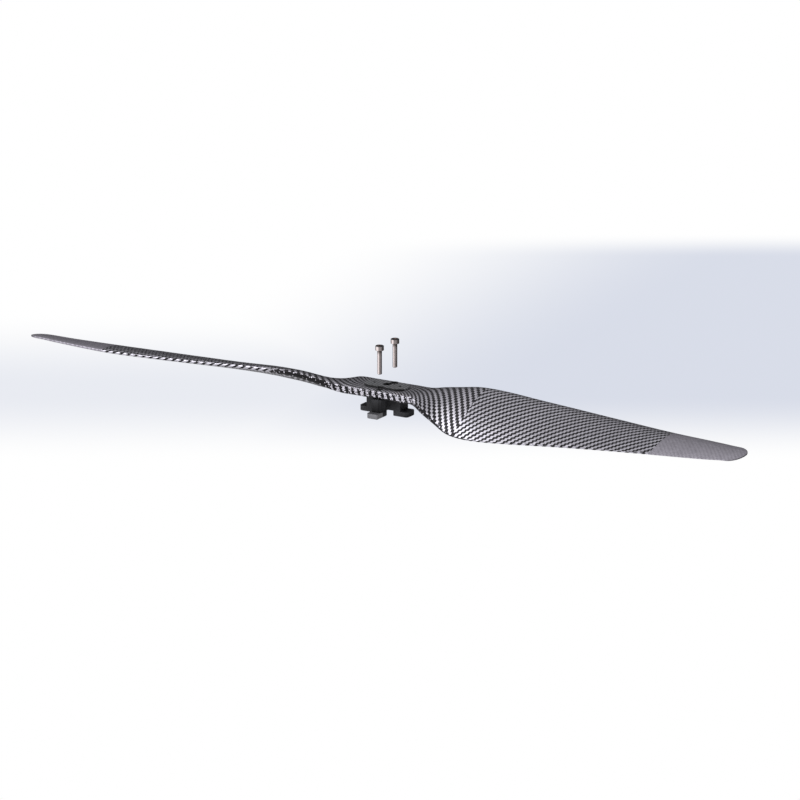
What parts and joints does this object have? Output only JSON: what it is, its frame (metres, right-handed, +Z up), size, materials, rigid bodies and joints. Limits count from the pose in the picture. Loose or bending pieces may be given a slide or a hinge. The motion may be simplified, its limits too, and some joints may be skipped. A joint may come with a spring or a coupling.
{
  "type": "two-bladed propeller",
  "caption": "Carbon shell propeller with two twisted blades, a raised hub plate, a four-lug bayonet adapter and two lifted cap screws.",
  "frame": {"origin": "on the spin axis, in the plane of the adapter's feet", "axes": "+X along the blades towards the right tip, +Z up the spin axis; seen from above the blades turn counter-clockwise"},
  "size_m": [0.5334, 0.0622, 0.0466],
  "materials": {
    "carbon_skin": "gloss",
    "carbon_tip": "satin",
    "foam_core": "matte",
    "hub_laminate": "matte",
    "bush_metal": "machined",
    "plate_carbon": "satin",
    "pin_steel": "ground",
    "adapter_black": "satin",
    "insert_brass": "turned",
    "screw_steel": "polished sides, dark top"
  },
  "bodies": {
    "propeller": {"upper_skin": "carbon_skin", "lower_skin": "carbon_skin", "right_tip": "carbon_tip", "left_tip": "carbon_tip", "right_core": "foam_core", "left_core": "foam_core", "hub_block": "hub_laminate", "centre_bush": "bush_metal", "front_sleeve": "bush_metal", "rear_sleeve": "bush_metal", "top_plate": "plate_carbon", "right_pin": "pin_steel", "left_pin": "pin_steel", "adapter": "adapter_black", "front_insert": "insert_brass", "rear_insert": "insert_brass"},
    "front_screw": {"front_screw": "screw_steel"},
    "rear_screw": {"rear_screw": "screw_steel"}
  },
  "joints": [
    {"name": "front_screw_lift", "type": "slide", "parent": "propeller", "child": "front_screw", "axis": [0, 0, 1], "range_m": [-0.026, 0]},
    {"name": "rear_screw_lift", "type": "slide", "parent": "propeller", "child": "rear_screw", "axis": [0, 0, 1], "range_m": [-0.026, 0]}
  ]
}
